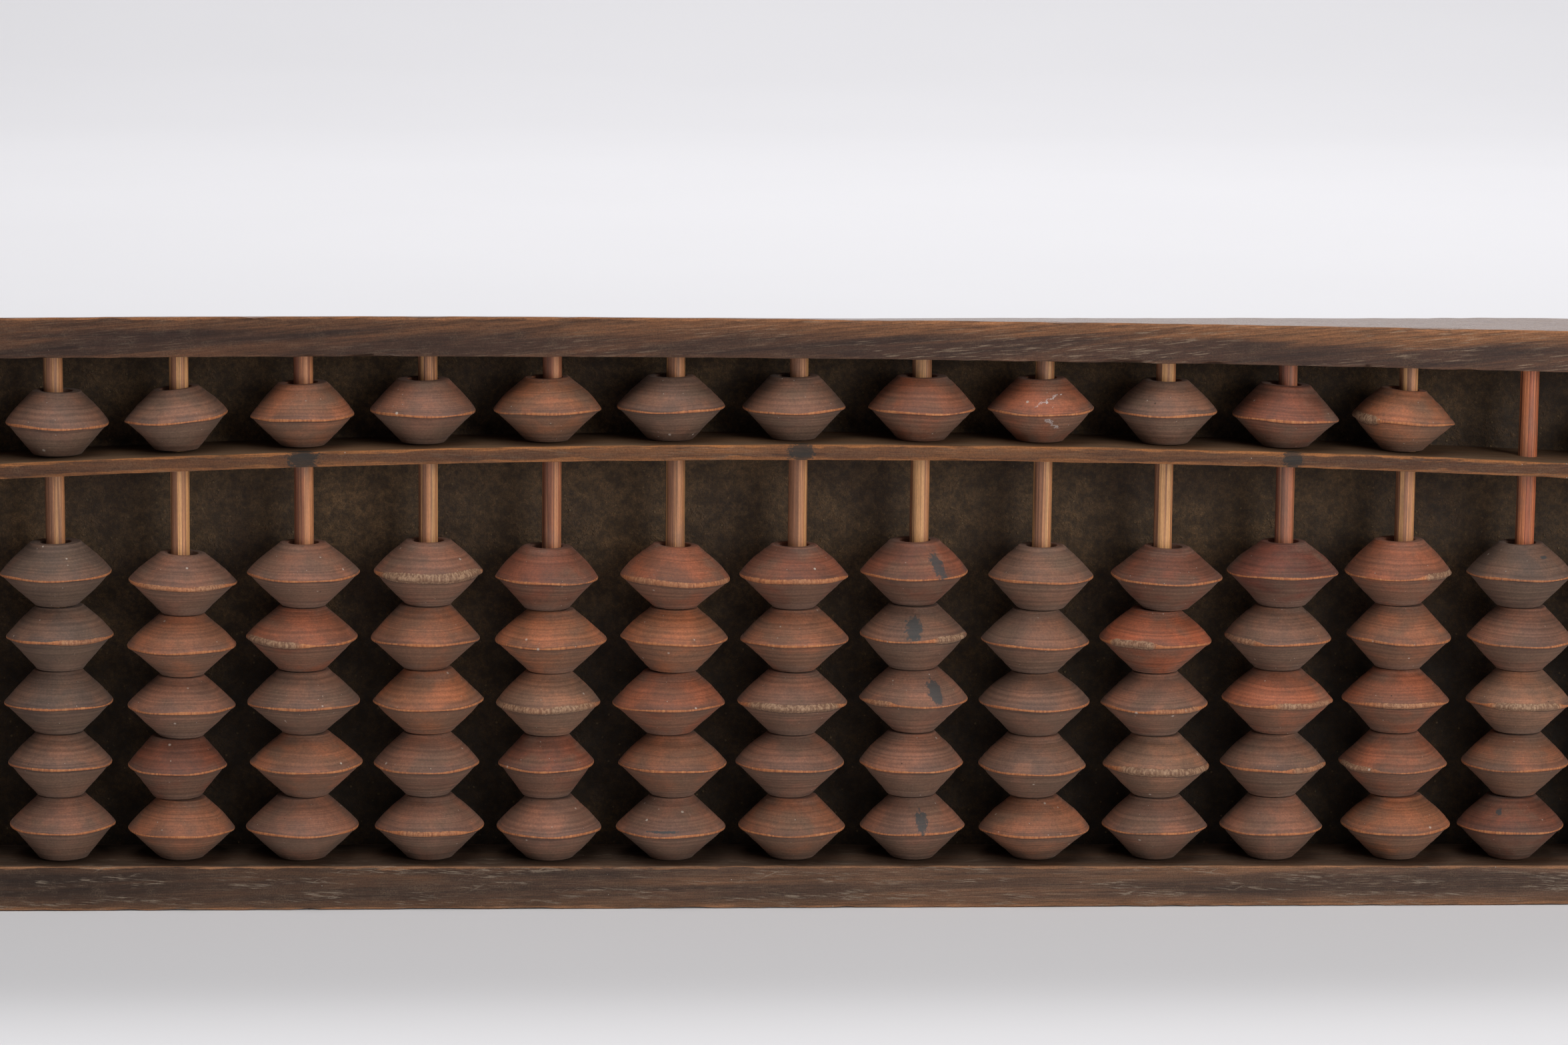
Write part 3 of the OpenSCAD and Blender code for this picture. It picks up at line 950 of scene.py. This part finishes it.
# How far the twisted top rail's back edge has sunk, and how far its front edge stands up, at x (mm)
REAR_SINK = ((-195, 2.5), (-36, 2.5), (12, 2.25), (60, 1.45), (107, 0.5), (150, -0.6), (195, -1.0))
FRONT_RISE = ((-195, 0.2), (-60, 0.15), (12, 0.0), (107, 0.25), (150, 0.5), (195, 0.6))


def at(table, x):
    """A value read off a short table of (x, value)."""
    return float(np.interp(x, *zip(*table)))


def top_rail():
    notch_z, half_board = board_high[2], board_high[0]

    def section(x):
        low, high = under_top_rail(x), top_of_top_rail(x)
        back_high = high - at(REAR_SINK, x)
        corners = [(FRONT_Y, low - 0.12, 0.2, True), (FRONT_Y, high + at(FRONT_RISE, x), 0.22, True),
                   (BACK_Y, back_high, 0.3, True)]
        if abs(x) < half_board:
            return corners + [(BACK_Y, notch_z, 0.2, True), (BOARD_Y, notch_z, 0.2, False),
                              (BOARD_Y, low, 0.2, True)]
        return corners + [(BACK_Y, (back_high + low) / 2, 0.2, False),
                          (BACK_Y, (back_high + low * 2) / 3, 0.2, False), (BACK_Y, low, 0.2, True)]

    places = stations(-HALF_LENGTH, HALF_LENGTH, 1.0, -half_board, half_board)
    shape = bar(places, section, (9, 26, 6, 3, 2, 22), 0)
    material = aged_timber("rail_wood_top", (0.036, 0.017, 0.012), (0.072, 0.034, 0.0205),
                           (0.15, 0.063, 0.03), (0.3, 0.125, 0.05), top_colour=(0.38, 0.325, 0.3),
                           slope=5.0, pores=0.5, dust=0.2, edge_mm=0.8, gloss=0.45, painted_left_shade=0.74,
                           glow=0.8, top_polish=0.26, top_dust_and_sheen=0.75, low_wear=0.1)
    timber_piece("top_rail", shape, 3, material, "rail_wood", (under_top_rail, top_of_top_rail))


def bottom_rail():
    notch_z, half_board = board_low[2], board_high[0]

    def section(x):
        high = top_of_bottom_rail(x)
        back = [(BACK_Y, high, 0.2, True), (BACK_Y, high * 0.66, 0.2, False),
                (BACK_Y, high * 0.4, 0.2, False)]
        if abs(x) < half_board:
            back = [(BOARD_Y, high, 0.2, True), (BOARD_Y, notch_z, 0.2, False),
                    (BACK_Y, notch_z, 0.2, True)]
        return [(FRONT_Y, 0.0, 0.3, True), (FRONT_Y, high, 0.4, True), *back, (BACK_Y, 0.0, 0.3, True)]

    places = stations(-HALF_LENGTH, HALF_LENGTH, 1.0, -half_board, half_board)
    shape = bar(places, section, (10, 22, 3, 3, 4, 26), 0)
    material = aged_timber("rail_wood_bottom", (0.061, 0.033, 0.0215), (0.117, 0.061, 0.037),
                           (0.2, 0.096, 0.05), (0.28, 0.13, 0.06), top_colour=(0.055, 0.035, 0.022),
                           slope=1.0, pores=0.3, dust=0.25, edge_mm=0.7, gloss=0.5, painted_left_shade=0.42,
                           sole=0.6, scuffs=0.65, top_dust_and_sheen=0.6)
    timber_piece("bottom_rail", shape, 5, material, "rail_wood", (0.0, top_of_bottom_rail))


def end_piece(side, seed, material):
    outer, inner, board_edge = side * HALF_LENGTH, side * INNER_X, side * board_high[0]
    middle = (outer + inner) / 2
    low, high = top_of_bottom_rail(middle) - 0.3, under_top_rail(middle) + 0.3
    corners = [(inner, FRONT_Y, 0.35, True), (outer, FRONT_Y, 0.35, True), (outer, BACK_Y, 0.35, True),
               (board_edge, BACK_Y, 0.2, True), (board_edge, BOARD_Y, 0.2, False),
               (inner, BOARD_Y, 0.2, True)]
    counts, name = (10, 26, 6, 3, 3, 22), "left_end"
    if side > 0:
        corners = corners[1::-1] + corners[:1:-1]
        counts, name = (26, 10, 22, 3, 3, 6), "right_end"
    shape = bar(stations(low, high, 1.0), lambda _: corners, counts, 2)
    timber_piece(name, shape, seed, material, "rail_wood", (low, high))


def upright_timber():
    """The rails' timber with its grain turned to run up the end pieces."""
    return aged_timber("rail_wood_ends", (0.035, 0.021, 0.016), (0.066, 0.038, 0.027),
                       (0.115, 0.062, 0.038), (0.17, 0.09, 0.05), slope=90.0, pores=0.4, dust=0.2,
                       edge_mm=0.8)


def ink_marks(points, up):
    """Each point's place from the nearest ink mark's middle, in half widths and half heights."""
    reach = np.full(len(points), FAR_AWAY)
    for rod, half in BEAM_MARKS:
        reach = np.minimum(reach, np.abs(points[:, 0] - rod_axis(rod)[0]) / half)
    behind = smoothstep(points[:, 1], FRONT_Y + 0.8, FRONT_Y + 4.0) * 3
    return np.stack([reach + behind, (up - 0.55) / 0.62, reach * 0], axis=1)


def beam():
    def section(x):
        low, high = under_beam(x), top_of_beam(x)
        return [(FRONT_Y, low - 0.12, 0.15, True), (FRONT_Y, high + 0.08, 0.18, True),
                (BOARD_Y, high, 0.25, False), (BOARD_Y, low, 0.25, False)]

    shape = bar(stations(beam_low[0], beam_high[0], 1.0), section, (7, 22, 3, 22), 0)
    material = aged_timber("beam_wood", (0.085, 0.036, 0.018), (0.122, 0.051, 0.023),
                           (0.205, 0.083, 0.031), (0.34, 0.13, 0.04), top_colour=(0.115, 0.075, 0.042),
                           pores=0.12, dust=0.25, edge_mm=0.8, ink=True, gloss=0.6, scuffs=0.15,
                           top_dust_and_sheen=0.7, low_wear=0.55)
    timber_piece("beam", shape, 8, material, "beam_wood", (under_beam, top_of_beam), marks=ink_marks,
                 chip=0.2, softening=0.05)


def dust_on_board(points):
    """How caked each point of the board is: fully at its front, not at all behind."""
    return 1 - smoothstep(points[:, 1], BOARD_Y + 0.4, BOARD_Y + 1.5)


def backboard():
    low, high = board_low[2], board_high[2]
    back = board_high[1] - 0.12
    corners = [(BOARD_Y, low, 0.15, True), (BOARD_Y, high, 0.15, True), (back, high, 0.2, True),
               (back, low, 0.2, True)]
    places = stations(board_low[0], board_high[0], 1.5)
    shape = bar(places, lambda _: corners, (70, 2, 70, 2), 0)
    timber_piece("backboard", shape, 11, board_wood(), "board_wood", (low, high),
                 caked=dust_on_board, chip=0.1)


# ---------------------------------------------------------------- rods, pegs and nails

ROD_TONE = (0.52, 0.23, 0.1)
ROD_TONES = {
    4: (0.48, 0.175, 0.08), 6: (0.48, 0.175, 0.08), 12: (0.49, 0.17, 0.08), 14: (0.52, 0.15, 0.065),
}
ROD_SIDES, ROD_ROWS = 28, 64
ROD_IN_RAIL = 4.0  # how far a rod goes on inside each rail (mm)
PEG_RADIUS = 1.1
PEG_INSET = 2.25  # from a rail's inner edge to the middle of a peg (mm)
NAIL_RADIUS = 1.38
NAIL_REACH = 3.5  # points this near each other belong to the same nail (mm)


def rod_part(rod, draw):
    """One rod from inside the bottom rail to inside the top rail, not quite round or straight."""
    x, y = rod_axis(rod)
    z = np.linspace(top_of_bottom_rail(x) - ROD_IN_RAIL, under_top_rail(x) + ROD_IN_RAIL, ROD_ROWS)
    h = np.repeat(z, ROD_SIDES)
    angle = angles_round(ROD_SIDES, ROD_ROWS)
    seed = int(draw.integers(1, 9999))
    circle = np.stack([np.sin(angle) * 2.4, np.cos(angle) * 2.4, h * 0.03], axis=1)
    radius = ROD_RADIUS - 0.05 + 0.09 * smooth_noise(circle, 0.8, seed)
    sway = 0.06 * np.sin(h * draw.uniform(0.03, 0.06) + draw.uniform(0, 6))
    points = np.stack([x + sway + radius * np.sin(angle), y - radius * np.cos(angle), h], axis=1)
    tone = np.array(ROD_TONES.get(rod, ROD_TONE)) * draw.uniform(0.92, 1.08)
    attributes = {
        "local": points + draw.uniform(-300, 300, 3),
        "tone": np.repeat([tone], len(points), axis=0),
        "side": np.sin(angle),
    }
    return points, [f[::-1] for f in capped_quads(ROD_ROWS, ROD_SIDES)], attributes


def rods():
    draw = np.random.default_rng(7)
    shape = joined([rod_part(rod, draw) for rod in range(1, ROD_COUNT + 1)])
    make_piece("bamboo_rods", *shape, bamboo(), "root", ["rods"], "bamboo")


def turned_head(centre, profile, sides, seed, wobble):
    """A small round head on the Y axis: profile is (radius, y) from its crown to its hidden end."""
    angle = angles_round(sides, len(profile))
    radius, y = np.repeat(profile, sides, axis=0).T
    flat = np.stack([radius * np.cos(angle), y * 0, radius * np.sin(angle)], axis=1)
    points = flat + np.array(centre)
    points[:, 1] = y
    points += flat * (wobble * smooth_noise(points, 0.9, seed))[:, None]
    return points, capped_quads(len(profile), sides), {"local": points + seed * 9.0}


def corner_pegs():
    """The ends of the bamboo pegs in the rails' front faces, a hair proud of the worn timber."""
    low, high = node_box("corner_pegs")
    x, y = high[0] - PEG_RADIUS, low[1]
    profile = [(0.25, y + 0.02), (0.75, y + 0.04), (0.98, y + 0.12), (1.08, y + 0.3),
               (PEG_RADIUS, y + 2.0), (PEG_RADIUS, y + 12.0)]
    left, right = -x, x
    centres = [(left, top_of_bottom_rail(left) - PEG_INSET), (left, under_top_rail(left) + PEG_INSET),
               (right, top_of_bottom_rail(right) - PEG_INSET), (right, under_top_rail(right) + PEG_INSET)]
    parts = [turned_head((px, 0.0, pz), profile, 20, 40 + k, 0.05) for k, (px, pz) in enumerate(centres)]
    make_piece("bamboo_pegs", *joined(parts), peg_wood(), "root", ["corner_pegs"], "peg_wood")


def nail_places():
    """Centres of the nail heads, from the CAD nails' own meshes: (x, z) in mm."""
    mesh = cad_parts["board_nails"].data
    points = np.array([v.co for v in mesh.vertices]) * MM
    outer = points[points[:, 1] > BACK_Y - 0.1]
    places = []
    for x, _, z in outer:
        near = [p for p in places if math.hypot(p[0][0] - x, p[0][1] - z) < NAIL_REACH]
        if near:
            near[0].append((x, z))
        else:
            places.append([(x, z)])
    return [tuple((np.array(p).min(axis=0) + np.array(p).max(axis=0)) / 2) for p in places]


def board_nails():
    y = BACK_Y
    profile = [(0.3, y), (0.8, y - 0.02), (1.2, y - 0.1), (NAIL_RADIUS, y - 0.22), (1.36, y - 0.4),
               (0.55, y - 0.5), (0.5, y - 4.0), (0.1, y - 8.5)]
    parts = []
    for k, (x, z) in enumerate(nail_places()):
        points, faces, attributes = turned_head((x, 0.0, z), profile, 18, 70 + k, 0.12)
        parts.append((points, [f[::-1] for f in faces], attributes))
    make_piece("iron_nails", *joined(parts), nail_iron(), "root", ["board_nails"], "nail_iron")


# ---------------------------------------------------------------- studio

def floor_and_sweep():
    """A wide pale floor that rises far behind the frame."""
    flat_to, bend, wall, half_width, near = 2.2, 2.4, 4.0, 6.0, -4.0
    line = [(near, 0.0), (-1.0, 0.0), (1.0, 0.0), (flat_to, 0.0)]
    for step in range(1, 13):
        turn = step / 12 * math.pi / 2
        line.append((flat_to + bend * math.sin(turn), bend * (1 - math.cos(turn))))
    line.append((flat_to + bend, wall))
    points = [(x, y, z) for y, z in line for x in (-half_width, half_width)]
    faces = [(2 * k, 2 * k + 1, 2 * k + 3, 2 * k + 2) for k in range(len(line) - 1)]
    mesh = bpy.data.meshes.new("floor")
    mesh.from_pydata(points, [], faces)
    mesh.shade_smooth()
    mesh.materials.append(paper())
    new_object("floor", mesh)


def area_light(name, place, target, size, watts, tint=(1.0, 1.0, 1.0)):
    data = bpy.data.lights.new(name, "AREA")
    data.shape = "RECTANGLE"
    data.size, data.size_y = size
    data.energy = watts
    data.color = tint
    light = new_object(name, data)
    light.location = place
    light.visible_camera = False
    light.rotation_euler = (Vector(target) - Vector(place)).to_track_quat("-Z", "Y").to_euler()


def studio_light():
    area_light("key", (0.95, -1.24, 0.48), (0.05, 0.0, 0.06), (0.75, 0.75), 12.6, (1.0, 0.985, 0.97))
    area_light("overhead", (-0.08, -0.42, 1.25), (0.0, -0.05, 0.0), (1.3, 0.8), 11.0)
    area_light("sweep", (0.4, 1.5, 2.2), (0.55, 2.6, 0.2), (3.0, 1.5), 69.0, (0.99, 0.985, 1.0))
    world = bpy.data.worlds.new("studio")
    world.use_nodes = True
    background = world.node_tree.nodes["Background"]
    background.inputs["Color"].default_value = (0.97, 0.97, 1.0, 1.0)
    background.inputs["Strength"].default_value = 0.12
    bpy.context.scene.world = world


CAMERA_PLACE = (-60.64, -899.7, 214.27)
CAMERA_YAW, CAMERA_PITCH, CAMERA_ROLL = 3.697, 8.777, 0.635
CAMERA_LENS = 106.9


def camera():
    """The photograph's view, worked out from the frame's own lines."""
    yaw, pitch, roll = (math.radians(v) for v in (CAMERA_YAW, CAMERA_PITCH, CAMERA_ROLL))
    ahead = Vector((math.sin(yaw) * math.cos(pitch), math.cos(yaw) * math.cos(pitch), -math.sin(pitch)))
    right = Vector((math.cos(yaw), -math.sin(yaw), 0.0))
    up = right.cross(ahead)
    across = right * math.cos(roll) + up * math.sin(roll)
    upward = up * math.cos(roll) - right * math.sin(roll)
    data = bpy.data.cameras.new("photo_view")
    data.sensor_width = 36.0
    data.lens = CAMERA_LENS
    view = new_object("photo_view", data)
    turn = Matrix((across, upward, -ahead)).transposed()
    view.matrix_world = Matrix.Translation(Vector(CAMERA_PLACE) / MM) @ turn.to_4x4()
    bpy.context.scene.camera = view


camera()
floor_and_sweep()
studio_light()
all_beads()
top_rail()
bottom_rail()
ends_wood = upright_timber()
end_piece(-1, 21, ends_wood)
end_piece(1, 23, ends_wood)
beam()
backboard()
rods()
corner_pegs()
board_nails()

bpy.context.scene.view_settings.view_transform = "Standard"
bpy.context.scene.view_settings.look = "None"
